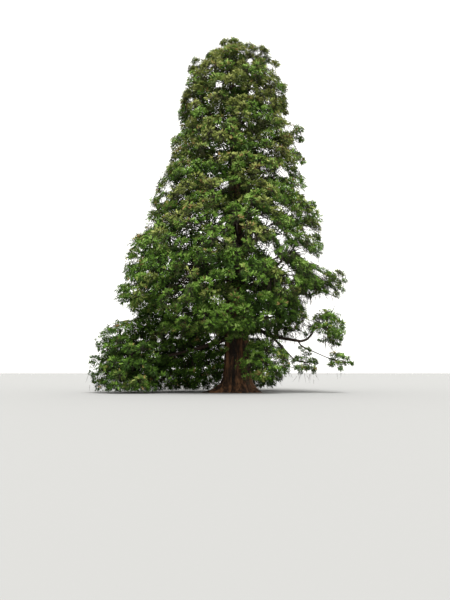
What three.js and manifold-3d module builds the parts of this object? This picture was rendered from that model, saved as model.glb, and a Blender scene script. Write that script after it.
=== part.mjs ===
// Giant sequoia. Millimetres, +Z up. The origin is the centre of the trunk's flat cut at
// ground level, +X is to the right and -Y towards the viewer. Angles are in degrees from +X,
// counter-clockwise as seen from above, so that -90 is the front.
import * as THREE from 'three';
import { mergeVertices } from 'three/addons/utils/BufferGeometryUtils.js';
import Module from 'manifold-3d';

const wasm = await Module();
wasm.setup();

// Trunk
const CROWN_TOP = 28200;
const TRUNK_TOP = 25600;
const TRUNK_RADIUS = 1000; // at 1.5 m above the ground
const TRUNK_TIP_RADIUS = 45;
const TRUNK_TAPER = 0.8;
const TRUNK_SIDES = 20;
const TRUNK_RINGS = 14;
const LEAN = { x: -330, y: 120 }; // how far the top stands off the base
const FLARE = 520; // extra radius at the ground
const FLARE_HEIGHT = 560;
const LOBES = { count: 5, depth: 0.09, height: 1500, turn: 36 };
const RIDGES = [
  { at: 198, out: 1250, wide: 15, height: 330 },
  { at: 342, out: 320, wide: 18, height: 420 },
  { at: 90, out: 420, wide: 20, height: 400 },
  { at: 270, out: 260, wide: 16, height: 420 },
];

// Outline of the crown: [height, reach to the left, to the right, to front and back]
const PROFILE = [
  [4300, 7400, 4800, 6200],
  [5600, 7600, 5800, 6700],
  [6400, 8600, 5300, 7000],
  [7100, 9300, 5200, 7300],
  [7700, 9200, 6600, 7600],
  [8600, 9000, 8400, 7700],
  [9200, 8700, 6600, 7600],
  [9900, 8500, 6400, 7400],
  [11200, 8400, 6700, 7200],
  [12200, 7200, 6600, 6900],
  [12900, 6900, 6800, 6700],
  [13800, 6800, 6600, 6500],
  [14700, 6800, 5600, 6200],
  [15500, 6400, 4900, 5700],
  [17600, 5300, 5200, 5300],
  [19400, 5100, 4800, 5000],
  [20100, 4400, 5400, 4700],
  [20700, 4400, 4600, 4500],
  [21400, 4400, 4000, 4300],
  [23900, 4400, 4400, 4100],
  [25200, 3600, 3600, 3600],
  [26300, 3100, 3400, 3000],
  [27200, 1900, 2600, 2000],
  [27800, 1200, 1400, 1100],
  [28200, 300, 300, 300],
];
const CROWN_FLOOR = 4300; // the crown's underside, apart from the low masses

// Tiers of foliage from the top down
const TIERS = [
  { height: 26500, count: 1, turn: 0, heart: 0, boughs: 0 },
  { height: 24500, count: 4, turn: -97, heart: 0.55, boughs: 0 },
  { height: 22200, count: 4, turn: -52, heart: 0.56, boughs: 0 },
  { height: 19900, count: 4, turn: -97, heart: 0.61, boughs: 0 },
  { height: 16500, count: 4, turn: -52, heart: 0.57, boughs: 0 },
  { height: 13900, count: 5, turn: -61, heart: 0.57, boughs: 0 },
  { height: 10500, count: 5, turn: -84, heart: 0.64, boughs: 0 },
  { height: 8200, count: 6, turn: -55, heart: 0.6, boughs: 2 },
  { height: 6000, count: 4, turn: -108, heart: 0.6, boughs: 4 },
];

// Masses on the low boughs, each in an oval space of its own: heart and half-sizes
const LOW_MASSES = [
  { name: 'skirt_left', heart: [-7650, -900, 2150], half: [3500, 3500, 3650], dense: true },
  { name: 'skirt_inner', heart: [-3900, 1700, 2000], half: [3100, 2800, 3100], dense: true },
  { name: 'skirt_back', heart: [1500, 4700, 2300], half: [3100, 2500, 2500], dense: true },
  { name: 'front_right', heart: [1900, -2700, 2300], half: [2100, 1500, 1800], dense: true },
  { name: 'hook', heart: [6750, -1400, 4850], half: [1500, 1700, 1450], dense: true },
  { name: 'far_right', heart: [7450, -1800, 2350], half: [1350, 1300, 950], dense: false },
  { name: 'droop', heart: [5250, -900, 2250], half: [1350, 1200, 1250], dense: false },
];

// Low boughs: the points they pass through, from the trunk or from the bough named in `from`
const LOW_BOUGHS = [
  { name: 'hook_inner', radius: [180, 100], from: 'trunk', end: 'hook_outer',
    path: [[300, -50, 5750], [950, -190, 5300], [1750, -360, 4750], [2650, -550, 4280],
      [3600, -750, 4080], [4830, -1010, 3850]] },
  { name: 'hook_outer', radius: [100, 60], from: 'hook_inner', end: 'hook',
    path: [[4830, -1010, 3850], [5300, -1110, 4020], [5700, -1200, 4500], [5870, -1250, 5050]] },
  { name: 'hook_side', radius: [60, 32], from: 'hook_inner', end: 'far_right',
    path: [[4600, -960, 3880], [4900, -1100, 3480], [5600, -1350, 3120], [6450, -1600, 2720]] },
  { name: 'straight', radius: [110, 45], from: 'hook_inner', end: 'droop',
    path: [[2350, -490, 4420], [3100, -600, 3800], [3650, -680, 3200], [4250, -760, 2560]] },
  { name: 'front_right', radius: [110, 60], from: 'trunk', end: 'front_right',
    path: [[250, -250, 3150], [900, -950, 3000], [1350, -1650, 2750]] },
  { name: 'skirt_left', radius: [210, 85], from: 'trunk', end: 'skirt_left',
    path: [[-350, -50, 4300], [-1500, -250, 3850], [-3600, -620, 3150], [-5600, -900, 2700]] },
  { name: 'skirt_inner', radius: [150, 80], from: 'trunk', end: 'skirt_inner',
    path: [[-250, 150, 3500], [-1100, 500, 3200], [-2350, 950, 2750]] },
  { name: 'skirt_back', radius: [160, 80], from: 'trunk', end: 'skirt_back',
    path: [[50, 300, 3900], [400, 1200, 3700], [850, 2850, 3150]] },
];

// Open slits through the crown along the line from the eye, as seen against the upright plane
// through the trunk: [x, height, x, height] of the two ends and the half-width
const EYE = [0, -48000, 1550];
const GAP_REACH = 11000; // before and behind the trunk
const SKY_GAPS = [
  [1800, 11650, 4200, 9150, 270],
  [4750, 11150, 6150, 10150, 340],
  [3300, 12600, 3750, 11200, 240],
  [2050, 13650, 2600, 13000, 300],
  [3500, 17400, 3850, 17250, 400],
  [2600, 26250, 2800, 25950, 280],
  [5500, 12850, 5900, 11650, 240],
  [-1700, 13300, -1050, 13950, 220],
  [3500, 14500, 4100, 14250, 260],
  [-4000, 8250, -4000, 8800, 240],
  [2200, 19150, 2500, 18950, 240],
];

// Boughs, stems, twigs and sprays
const NODE_GAP = 0.3; // between nodes that meet
const LIMB_GAP = 25; // between a core and a limb it does not meet
const CELL_GAP = { core: 95, spray: 35 }; // from the faces of a mass's own space
const CORE_SHARE = 0.76; // of the way to the outline
const BOUGH_RADIUS = [170, 70];
const BOUGH_SIDES = 6;
const STEM_RADIUS = [95, 45];
const TWIGS = {
  dense: { count: 7, share: 0.6, sizes: [1, 0.82, 0.64, 0.46] },
  sparse: { count: 5, share: 0.8, sizes: [0.5, 0.4, 0.3] },
  radius: 55, sides: 3, shortest: 500,
};
const SPRAY = { length: 2250, width: 1800, thick: 240 };
const SIDE_SPRAYS = { count: 2, angle: 52, foot: 0.62 };
const OPEN_SLACK = 400; // a twig that ends this near the outline bears side sprays
const SIMPLIFY = { foliage: 10, limb: 0.25 };
const WELD = 0.05; // corners of an edge shorter than this become one
const GOLDEN_ANGLE = Math.PI * (3 - Math.sqrt(5));

// Colours
const BARK = 0x4a3325;
const LIMB = 0x3d2c22;
const GREENS = [0x4f5a31, 0x465628, 0x3f5026, 0x4a5a2b];

const rad = (degrees) => (degrees * Math.PI) / 180;
const vec = (x, y, z) => new THREE.Vector3(x, y, z);

// The same run of numbers from 0 to 1 each time for the same seed.
function seeded(seed) {
  let state = seed >>> 0;
  return () => {
    state = (Math.imul(state, 1664525) + 1013904223) >>> 0;
    return state / 4294967296;
  };
}

function axisAt(z) {
  const t = Math.pow(Math.max(z, 0) / CROWN_TOP, 1.5);
  return vec(LEAN.x * t, LEAN.y * t, z);
}

function trunkRadius(z) {
  const taper = (h) => Math.pow(Math.max(1 - h / TRUNK_TOP, 0), TRUNK_TAPER);
  const body = TRUNK_TIP_RADIUS + (TRUNK_RADIUS - TRUNK_TIP_RADIUS) * (taper(z) / taper(1500));
  return body + FLARE * Math.exp(-z / FLARE_HEIGHT);
}

// How far the crown reaches at this height in this direction.
function crownReach(z, angle) {
  if (z >= CROWN_TOP) return 0;
  let row = 0;
  while (row < PROFILE.length - 2 && PROFILE[row + 1][0] < z) row += 1;
  const [low, high] = [PROFILE[row], PROFILE[row + 1]];
  const t = Math.min(Math.max((z - low[0]) / (high[0] - low[0]), 0), 1);
  const [left, right, depth] = [1, 2, 3].map((k) => low[k] + (high[k] - low[k]) * t);
  const side = Math.cos(angle);
  const share = side * side;
  return share * (side < 0 ? left : right) + (1 - share) * depth;
}

// Closed triangle mesh to solid.
function solid(points, faces) {
  const mesh = new wasm.Mesh({
    numProp: 3,
    vertProperties: Float32Array.from(points.flatMap((p) => [p.x, p.y, p.z])),
    triVerts: Uint32Array.from(faces.flat()),
  });
  return new wasm.Manifold(mesh);
}

// Rings of equal count joined from first to last, with flat ends.
function skin(rings) {
  const n = rings[0].length;
  const faces = [];
  for (let r = 0; r + 1 < rings.length; r += 1) {
    for (let i = 0; i < n; i += 1) {
      const [a, b] = [r * n + i, r * n + ((i + 1) % n)];
      faces.push([a, b, b + n], [a, b + n, a + n]);
    }
  }
  const last = (rings.length - 1) * n;
  for (let i = 1; i + 1 < n; i += 1) {
    faces.push([0, i + 1, i], [last, last + i, last + i + 1]);
  }
  return solid(rings.flat(), faces);
}

function trunkSolid(extra) {
  const rings = [];
  for (let r = 0; r <= TRUNK_RINGS; r += 1) {
    const z = TRUNK_TOP * Math.pow(r / TRUNK_RINGS, 1.9);
    const centre = axisAt(z);
    const ring = [];
    for (let i = 0; i < TRUNK_SIDES; i += 1) {
      const angle = (2 * Math.PI * i) / TRUNK_SIDES;
      const lobe = LOBES.depth * Math.exp(-z / LOBES.height) * Math.cos(LOBES.count * angle + rad(LOBES.turn));
      let radius = trunkRadius(z) * (1 + lobe) + extra;
      for (const ridge of RIDGES) {
        const off = Math.abs(((angle - rad(ridge.at) + 3 * Math.PI) % (2 * Math.PI)) - Math.PI);
        radius += ridge.out * Math.exp(-Math.pow(off / rad(ridge.wide), 2) - z / ridge.height);
      }
      ring.push(vec(centre.x + radius * Math.cos(angle), centre.y + radius * Math.sin(angle), z));
    }
    rings.push(ring);
  }
  if (extra > 0) {
    rings[0] = rings[0].map((p) => vec(p.x, p.y, -100));
    rings[rings.length - 1] = rings[rings.length - 1].map((p) => vec(p.x, p.y, TRUNK_TOP + extra));
  }
  return skin(rings);
}

// A round limb along a path, its radius going evenly from the first to the second.
function limbSolid(path, radii, sides, extra = 0) {
  const rings = [];
  let across = null;
  path.forEach((point, i) => {
    const ahead = path[Math.min(i + 1, path.length - 1)].clone().sub(path[Math.max(i - 1, 0)]).normalize();
    across = across ?? (Math.abs(ahead.z) < 0.9 ? vec(0, 0, 1) : vec(1, 0, 0));
    across = across.clone().addScaledVector(ahead, -across.dot(ahead)).normalize();
    const up = ahead.clone().cross(across);
    const radius = radii[0] + ((radii[1] - radii[0]) * i) / (path.length - 1) + extra;
    let centre = point;
    if (extra > 0 && i === 0) centre = point.clone().addScaledVector(ahead, -extra);
    if (extra > 0 && i === path.length - 1) centre = point.clone().addScaledVector(ahead, extra);
    const ring = [];
    for (let k = 0; k < sides; k += 1) {
      const angle = (2 * Math.PI * k) / sides;
      ring.push(centre.clone().addScaledVector(across, radius * Math.cos(angle)).addScaledVector(up, radius * Math.sin(angle)));
    }
    rings.push(ring);
  });
  return skin(rings);
}

// A toothed blade of needles: a point at the root, two teeth, two notches and the tip.
function spraySolid(corners) {
  const faces = [];
  for (let i = 0; i < 6; i += 1) {
    const j = (i + 1) % 6;
    faces.push([i, j, 6], [j, i, 7]);
  }
  return solid(corners, faces);
}

function sprayCorners(root, ahead, side, size) {
  const up = ahead.clone().cross(side).normalize();
  const length = SPRAY.length * size;
  const half = (SPRAY.width * size) / 2;
  const at = (along, out) => root.clone().addScaledVector(ahead, along * length).addScaledVector(side, out * half);
  const middle = at(0.46, 0);
  const lift = (SPRAY.thick * size) / 2;
  return [
    at(0, 0), at(0.5, -1), at(0.62, -0.42), at(1, 0), at(0.62, 0.42), at(0.5, 1),
    middle.clone().addScaledVector(up, lift), middle.clone().addScaledVector(up, -lift),
  ];
}

// Boughs as paths
function boughPath(heart, angle, trunkHeight, tipShare) {
  const start = axisAt(trunkHeight);
  const inner = trunkRadius(trunkHeight) * 0.45;
  start.add(vec(inner * Math.cos(angle), inner * Math.sin(angle), 0));
  const tip = start.clone().lerp(heart, tipShare);
  tip.z = heart.z - 250;
  const sag = 0.11 * start.distanceTo(tip);
  return [0, 0.25, 0.5, 0.75, 1].map((t) => {
    const p = start.clone().lerp(tip, t);
    p.z -= sag * 4 * t * (1 - t);
    return p;
  });
}

const masses = [];
const boughs = [];
TIERS.forEach((tier, row) => {
  for (let i = 0; i < tier.count; i += 1) {
    const next = seeded(101 + 37 * row + 11 * i);
    const angle = rad(tier.turn + (360 * i) / tier.count + (tier.count > 1 ? 14 * (next() - 0.5) : 0));
    const height = tier.height + (tier.count > 1 ? 900 * (next() - 0.5) : 0);
    const out = tier.heart * crownReach(height, angle);
    const heart = axisAt(height).add(vec(out * Math.cos(angle), out * Math.sin(angle), 0));
    const label = `${row + 1}_${i + 1}`;
    const mass = { name: `foliage_${label}`, heart, angle, dense: true, seed: 500 + 97 * row + 13 * i };
    if (tier.count === 1) {
      const tip = axisAt(TRUNK_TOP);
      mass.foot = [NODE_GAP, 250].map((lift) => vec(tip.x, tip.y, TRUNK_TOP + lift));
    } else if (i < tier.boughs) {
      const path = boughPath(heart, angle, height - 300, 0.6);
      boughs.push({ name: `bough_${label}`, path, radius: BOUGH_RADIUS, sides: BOUGH_SIDES, root: 'trunk' });
      mass.bough = boughs[boughs.length - 1];
    }
    masses.push(mass);
  }
});
for (const low of LOW_BOUGHS) {
  const path = low.path.map((p) => vec(...p));
  boughs.push({ name: `bough_${low.name}`, path, radius: low.radius, sides: BOUGH_SIDES, root: low.from, end: low.end });
}
LOW_MASSES.forEach((low, i) => {
  const mass = { name: `foliage_${low.name}`, heart: vec(...low.heart), half: low.half, dense: low.dense, seed: 2100 + 29 * i };
  mass.bough = boughs.find((b) => b.end === low.name);
  masses.push(mass);
});

// Every limb as a run of round pieces that foliage keeps clear of.
const runs = [];
for (let z = 0; z < TRUNK_TOP; z += 900) {
  const top = Math.min(z + 900, TRUNK_TOP);
  runs.push({ a: axisAt(z), b: axisAt(top), ra: trunkRadius(z) * 1.08, rb: trunkRadius(top) * 1.08 });
}
for (const bough of boughs) {
  const n = bough.path.length - 1;
  const radiusAt = (i) => bough.radius[0] + ((bough.radius[1] - bough.radius[0]) * i) / n;
  for (let i = 0; i < n; i += 1) {
    runs.push({ a: bough.path[i], b: bough.path[i + 1], ra: radiusAt(i), rb: radiusAt(i + 1) });
  }
}
const gaps = SKY_GAPS.map(([x, z, x2, z2, radius]) => ({ from: vec(x, 0, z), to: vec(x2, 0, z2), radius }));

// The eye sees p against this point of the upright plane through the trunk.
function seenAt(p) {
  const eye = vec(...EYE);
  return eye.clone().lerp(p, EYE[1] / (EYE[1] - p.y));
}

function distanceToRun(p, a, b) {
  const along = b.clone().sub(a);
  const t = Math.min(Math.max(p.clone().sub(a).dot(along) / along.lengthSq(), 0), 1);
  return [p.distanceTo(a.clone().addScaledVector(along, t)), t];
}

function limbClearance(p) {
  let least = Infinity;
  for (const run of runs) {
    const [distance, t] = distanceToRun(p, run.a, run.b);
    least = Math.min(least, distance - (run.ra + (run.rb - run.ra) * t));
  }
  return least;
}

function gapClearance(p) {
  const seen = seenAt(p);
  const spread = 1 - p.y / EYE[1];
  return Math.min(...gaps.map((gap) => (distanceToRun(seen, gap.from, gap.to)[0] - gap.radius) * spread));
}

// The slit as a solid: two bars along the line of sight through its ends, and all between them.
function gapSolid(gap) {
  const eye = vec(...EYE);
  const bars = [gap.from, gap.to].map((end) => {
    const spreads = [-GAP_REACH, GAP_REACH].map((y) => 1 - y / EYE[1]);
    return limbSolid(spreads.map((s) => eye.clone().lerp(end, s)), spreads.map((s) => s * gap.radius), 6);
  });
  return wasm.Manifold.hull(bars);
}

// A mass's own space: the points nearer to its heart than to any other heart.
function planesOf(mass) {
  return masses.filter((other) => other !== mass).map((other) => {
    const normal = other.heart.clone().sub(mass.heart);
    const length = normal.length();
    normal.divideScalar(length);
    return { normal, offset: normal.dot(mass.heart) + length / 2 };
  });
}

function cellClearance(mass, p) {
  return Math.min(...mass.planes.map((plane) => plane.offset - plane.normal.dot(p)));
}

masses.forEach((mass) => {
  mass.planes = planesOf(mass);
});

// The stem of a mass with no bough leaves the trunk where the mass's own space is widest.
function stemFoot(mass) {
  let best = { room: -Infinity };
  for (let z = mass.heart.z - 3500; z <= mass.heart.z + 400; z += 50) {
    const surface = trunkRadius(z);
    const at = (share) => axisAt(z).add(vec(Math.cos(mass.angle), Math.sin(mass.angle), 0).multiplyScalar(share * surface));
    const room = cellClearance(mass, at(1.1));
    if (room > best.room) best = { room, foot: at(0.5) };
  }
  return best;
}
for (const mass of masses.filter((m) => !m.bough && !m.foot)) {
  const { foot, room } = stemFoot(mass);
  mass.foot = [foot];
  mass.room = room;
}

// Below 1 inside the outline that a mass fills, above 1 outside.
function outlineShare(mass, p) {
  if (mass.half) {
    const d = p.clone().sub(mass.heart);
    return Math.hypot(d.x / mass.half[0], d.y / mass.half[1], d.z / mass.half[2]);
  }
  const centre = axisAt(p.z);
  const [x, y] = [p.x - centre.x, p.y - centre.y];
  if (p.z < CROWN_FLOOR || p.z > CROWN_TOP) return 2;
  return Math.hypot(x, y) / crownReach(p.z, Math.atan2(y, x));
}

const GROUND_CLEARANCE = 60;
function isOpen(mass, p) {
  return outlineShare(mass, p) <= 1 && p.z >= GROUND_CLEARANCE;
}

// How far a line from p runs before it leaves the outline, and before it leaves the space
// or comes near a limb.
function freeRun(mass, p, ahead, gap, limbGap) {
  const step = 60;
  let outline = 0;
  while (outline < 9000 && isOpen(mass, p.clone().addScaledVector(ahead, outline + step))) outline += step;
  let space = 0;
  while (space < outline) {
    const q = p.clone().addScaledVector(ahead, space + step);
    if (cellClearance(mass, q) < gap || limbClearance(q) < limbGap) break;
    space += step;
  }
  return { outline, space };
}

function isClear(mass, p, gap) {
  return isOpen(mass, p) && cellClearance(mass, p) >= gap && limbClearance(p) >= gap && gapClearance(p) >= 0;
}

// Checked at the corners and at the middle of each edge from the root or the tip.
function sprayIsClear(mass, corners) {
  if (!corners.every((p) => isClear(mass, p, CELL_GAP.spray))) return false;
  return corners.every((p) => [0, 3].every((k) => limbClearance(p.clone().lerp(corners[k], 0.5)) >= CELL_GAP.spray));
}

const ball = (() => {
  const shape = new THREE.DodecahedronGeometry(1, 0);
  shape.deleteAttribute('normal');
  shape.deleteAttribute('uv');
  return mergeVertices(shape, 1e-4);
})();

function coreSolid(mass, next) {
  const turn = new THREE.Quaternion().setFromEuler(new THREE.Euler(6 * next(), 6 * next(), 6 * next()));
  const place = ball.getAttribute('position');
  const points = [];
  for (let i = 0; i < place.count; i += 1) {
    const ahead = vec(0, 0, 0).fromBufferAttribute(place, i).applyQuaternion(turn).normalize();
    const { outline, space } = freeRun(mass, mass.heart, ahead, CELL_GAP.core, LIMB_GAP * 2);
    const reach = Math.min(outline * CORE_SHARE, space) * (0.9 + 0.1 * next());
    points.push(mass.heart.clone().addScaledVector(ahead, Math.max(reach, 120)));
  }
  const index = ball.getIndex();
  const faces = [];
  for (let i = 0; i < index.count; i += 3) faces.push([index.getX(i), index.getX(i + 1), index.getX(i + 2)]);
  return solid(points, faces);
}

const grown = {
  trunkMeet: trunkSolid(NODE_GAP + 0.05),
  trunkKeep: trunkSolid(LIMB_GAP),
};

function largest(body) {
  const pieces = body.decompose();
  return pieces.reduce((best, piece) => (piece.volume() > best.volume() ? piece : best));
}

function stemPath(mass) {
  if (mass.foot) return [...mass.foot, mass.heart];
  const path = mass.bough.path;
  const ahead = path[path.length - 1].clone().sub(path[path.length - 2]).normalize();
  const start = path[path.length - 1].clone().addScaledVector(ahead, NODE_GAP);
  return [start, start.clone().addScaledVector(ahead, 180), mass.heart];
}

function growMass(mass) {
  const next = seeded(mass.seed);
  const kind = TWIGS[mass.dense ? 'dense' : 'sparse'];
  const path = stemPath(mass);
  const root = mass.bough ? mass.bough.radius[1] : STEM_RADIUS[0];
  let stem = limbSolid(path, [root, STEM_RADIUS[1]], 5);
  if (mass.foot) stem = stem.subtract(grown.trunkMeet);
  const bodies = [];
  if (mass.dense) {
    bodies.push(largest(coreSolid(mass, next).subtract(keepOut)));
  }
  const turn = 2 * Math.PI * next();
  for (let k = 0; k < kind.count; k += 1) {
    const height = 1 - (2 * (k + 0.5)) / kind.count;
    const level = Math.sqrt(1 - height * height);
    const around = turn + k * GOLDEN_ANGLE;
    const ahead = vec(level * Math.cos(around), level * Math.sin(around), height);
    const { outline, space } = freeRun(mass, mass.heart, ahead, CELL_GAP.spray, TWIGS.radius * 2);
    const run = Math.min(outline, space);
    if (run < TWIGS.shortest) continue;
    const twigEnd = mass.heart.clone().addScaledVector(ahead, run * kind.share);
    const twig = limbSolid([mass.heart, twigEnd], [TWIGS.radius, TWIGS.radius * 0.3], TWIGS.sides);
    if (!twig.intersect(keepOut).isEmpty()) continue;
    bodies.push(twig);
    const sides = outline - space < OPEN_SLACK ? SIDE_SPRAYS.count : 0;
    for (let n = 0; n <= sides; n += 1) {
      const roll = 2.4 * k + (Math.PI * 2 * n) / Math.max(sides, 1);
      const across = vec(0, 0, 1).cross(ahead).normalize().applyAxisAngle(ahead, roll);
      const way = n === 0 ? ahead : ahead.clone().applyAxisAngle(across, rad(SIDE_SPRAYS.angle));
      const choices = kind.sizes.map((size) => {
        const from = n === 0 ? Math.max(run - SPRAY.length * size, run * 0.25) : run * SIDE_SPRAYS.foot;
        return sprayCorners(mass.heart.clone().addScaledVector(ahead, from), way, across, size);
      });
      const blades = choices.filter((corners) => sprayIsClear(mass, corners)).map(spraySolid);
      const blade = blades.find((body) => body.intersect(keepOut).isEmpty());
      if (blade) bodies.push(blade);
    }
  }
  const foliage = wasm.Manifold.union(bodies).simplify(SIMPLIFY.foliage);
  return largest(largest(foliage.add(stem)).simplify(SIMPLIFY.limb));
}

// The same body without the tiny edges that a union leaves.
function welded(body) {
  const mesh = body.getMesh();
  const triples = (list) => Array.from({ length: list.length / 3 }, (_, i) => [...list.slice(3 * i, 3 * i + 3)]);
  const points = triples(mesh.vertProperties).map((p) => vec(...p));
  const joinedTo = points.map((_, i) => i);
  const first = (i) => (joinedTo[i] === i ? i : first(joinedTo[i]));
  const faces = triples(mesh.triVerts);
  for (const face of faces) {
    face.forEach((a, i) => {
      const b = face[(i + 1) % 3];
      if (points[a].distanceTo(points[b]) < WELD) joinedTo[Math.max(first(a), first(b))] = Math.min(first(a), first(b));
    });
  }
  return solid(points, faces.map((face) => face.map(first)).filter((face) => new Set(face).size === 3));
}

function toMesh(body, name, color, roughness) {
  const mesh = welded(body).getMesh();
  const shape = new THREE.BufferGeometry();
  shape.setAttribute('position', new THREE.Float32BufferAttribute(Float32Array.from(mesh.vertProperties), 3));
  shape.setIndex(Array.from(mesh.triVerts));
  shape.computeVertexNormals();
  const node = new THREE.Mesh(shape, new THREE.MeshStandardMaterial({ color, roughness, metalness: 0 }));
  node.name = name;
  return node;
}

const group = new THREE.Group();
group.name = 'giant_sequoia';
group.add(toMesh(trunkSolid(0), 'trunk', BARK, 0.95));

boughs.forEach((bough, i) => {
  bough.keep = limbSolid(bough.path, bough.radius, bough.sides, LIMB_GAP);
  bough.meet = limbSolid(bough.path, bough.radius, bough.sides, NODE_GAP + 0.05);
  let body = limbSolid(bough.path, bough.radius, bough.sides).subtract(grown.trunkMeet);
  for (const earlier of boughs.slice(0, i)) body = body.subtract(earlier.meet);
  group.add(toMesh(largest(body).simplify(SIMPLIFY.limb), bough.name, LIMB, 0.9));
});

const keepOut = wasm.Manifold.union([
  grown.trunkKeep, ...boughs.map((bough) => bough.keep), ...gaps.map(gapSolid),
]);
masses.forEach((mass, i) => {
  group.add(toMesh(growMass(mass), mass.name, GREENS[i % GREENS.length], 0.9));
});

export default group;
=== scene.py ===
# Giant sequoia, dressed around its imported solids. The trunk and the limbs get a mesh with the
# bark's relief. Every mass of foliage gives way to twigs and sprays of needles that grow on from
# the same heart by the part's own rule, in the same space and outline, and loose foliage is added
# where the tree is fuller than its masses. Metres, +Z up, +X to the right and -Y towards the
# viewer. Angles are in degrees from +X, counter-clockwise as seen from above.
import math
from types import SimpleNamespace as named

import bmesh
import bpy
import numpy as np
from mathutils import Matrix, Vector, noise
from numpy.linalg import norm


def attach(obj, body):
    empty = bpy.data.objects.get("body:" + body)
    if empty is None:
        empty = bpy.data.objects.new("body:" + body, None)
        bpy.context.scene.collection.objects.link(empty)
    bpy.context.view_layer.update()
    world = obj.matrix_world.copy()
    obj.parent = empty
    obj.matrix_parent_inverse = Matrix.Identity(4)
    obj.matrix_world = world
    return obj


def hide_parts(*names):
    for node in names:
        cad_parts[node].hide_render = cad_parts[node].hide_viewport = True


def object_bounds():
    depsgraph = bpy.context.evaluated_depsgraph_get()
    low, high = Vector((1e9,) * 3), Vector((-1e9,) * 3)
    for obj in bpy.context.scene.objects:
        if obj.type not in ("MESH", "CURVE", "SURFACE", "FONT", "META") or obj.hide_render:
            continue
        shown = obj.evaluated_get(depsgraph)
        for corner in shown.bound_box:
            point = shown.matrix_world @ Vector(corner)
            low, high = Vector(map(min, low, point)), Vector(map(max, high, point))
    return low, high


# Trunk
CROWN_TOP = 28.2
TRUNK_TOP = 25.6
TRUNK_RADIUS = 1.0
RADIUS_HEIGHT = 1.5  # above the ground, where the trunk has that radius
TRUNK_TIP_RADIUS = 0.045
TRUNK_TAPER = 0.8
LEAN = (-0.33, 0.12)  # how far the top stands off the base
LEAN_POWER = 1.5  # of the height, by which the lean grows
FLARE, FLARE_HEIGHT = 0.52, 0.56
LOBES = named(count=5, depth=0.09, height=1.5, turn=36)
# Angle, how far out, how wide an angle, and the height over which it dies away
RIDGES = [(198, 1.25, 15, 0.33), (342, 0.32, 18, 0.42), (90, 0.42, 20, 0.4), (270, 0.26, 16, 0.42)]
TRUNK_SIDES, TRUNK_RINGS = 168, 150
RING_POWER = 1.5  # by which the rings stand closer towards the ground
FURROWS = named(count=24, depth=0.062, round=0.6, middle=0.7, wander=1.9 * 6, fork=2.2, fine=0.018,
                full=0.6)  # full: the radius below which they grow shallower
# Noise that bends the furrows, that forks them, and of the fibres: its scale round the trunk,
# its scale up it, and where it starts
FURROW_NOISE = [(1.6, 0.33, (0, 0)), (5.0, 0.8, (3.0, 0)), (22, 1.3, (0, 7.0))]

# Outline of the crown: height, reach to the left, to the right, to front and back
PROFILE = np.array([
    (4.3, 7.4, 4.8, 6.2), (5.6, 7.6, 5.8, 6.7), (6.4, 8.6, 5.3, 7), (7.1, 9.3, 5.2, 7.3),
    (7.7, 9.2, 6.6, 7.6), (8.6, 9, 8.4, 7.7), (9.2, 8.7, 6.6, 7.6), (9.9, 8.5, 6.4, 7.4),
    (11.2, 8.4, 6.7, 7.2), (12.2, 7.2, 6.6, 6.9), (12.9, 6.9, 6.8, 6.7), (13.8, 6.8, 6.6, 6.5),
    (14.7, 6.8, 5.6, 6.2), (15.5, 6.4, 4.9, 5.7), (17.6, 5.3, 5.2, 5.3), (19.4, 5.1, 4.8, 5),
    (20.1, 4.4, 5.4, 4.7), (20.7, 4.4, 4.6, 4.5), (21.4, 4.4, 4, 4.3), (23.9, 4.4, 4.4, 4.1),
    (25.2, 3.6, 3.6, 3.6), (26.3, 3.1, 3.4, 3), (27.2, 1.9, 2.6, 2), (27.8, 1.2, 1.4, 1.1),
    (28.2, 0.3, 0.3, 0.3),
])
CROWN_FLOOR = 4.3  # the crown's underside, apart from the low masses

# Tiers of foliage from the top down: height, count, turn, heart, boughs
TIERS = [
    (26.5, 1, 0, 0.0, 0), (24.5, 4, -97, 0.55, 0), (22.2, 4, -52, 0.56, 0),
    (19.9, 4, -97, 0.61, 0), (16.5, 4, -52, 0.57, 0), (13.9, 5, -61, 0.57, 0),
    (10.5, 5, -84, 0.64, 0), (8.2, 6, -55, 0.6, 2), (6.0, 4, -108, 0.6, 4),
]
HIGH_TIERS = 4  # the record's slot foliage_high
JITTER = named(angle=14, height=0.9)
# Seeds of the part's rule: the first, and what each tier and each mass adds to it
SEEDS = {"place": (101, 37, 11), "twigs": (500, 97, 13), "low": (2100, 0, 29)}

# Masses on the low boughs: name, heart, half-sizes of its oval space, dense
LOW_MASSES = [
    ("skirt_left", (-7.65, -0.9, 2.15), (3.5, 3.5, 3.65), True),
    ("skirt_inner", (-3.9, 1.7, 2.0), (3.1, 2.8, 3.1), True),
    ("skirt_back", (1.5, 4.7, 2.3), (3.1, 2.5, 2.5), True),
    ("front_right", (1.9, -2.7, 2.3), (2.1, 1.5, 1.8), True),
    ("hook", (6.75, -1.4, 4.85), (1.5, 1.7, 1.45), True),
    ("far_right", (7.45, -1.8, 2.35), (1.35, 1.3, 0.95), False),
    ("droop", (5.25, -0.9, 2.25), (1.35, 1.2, 1.25), False),
]

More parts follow.
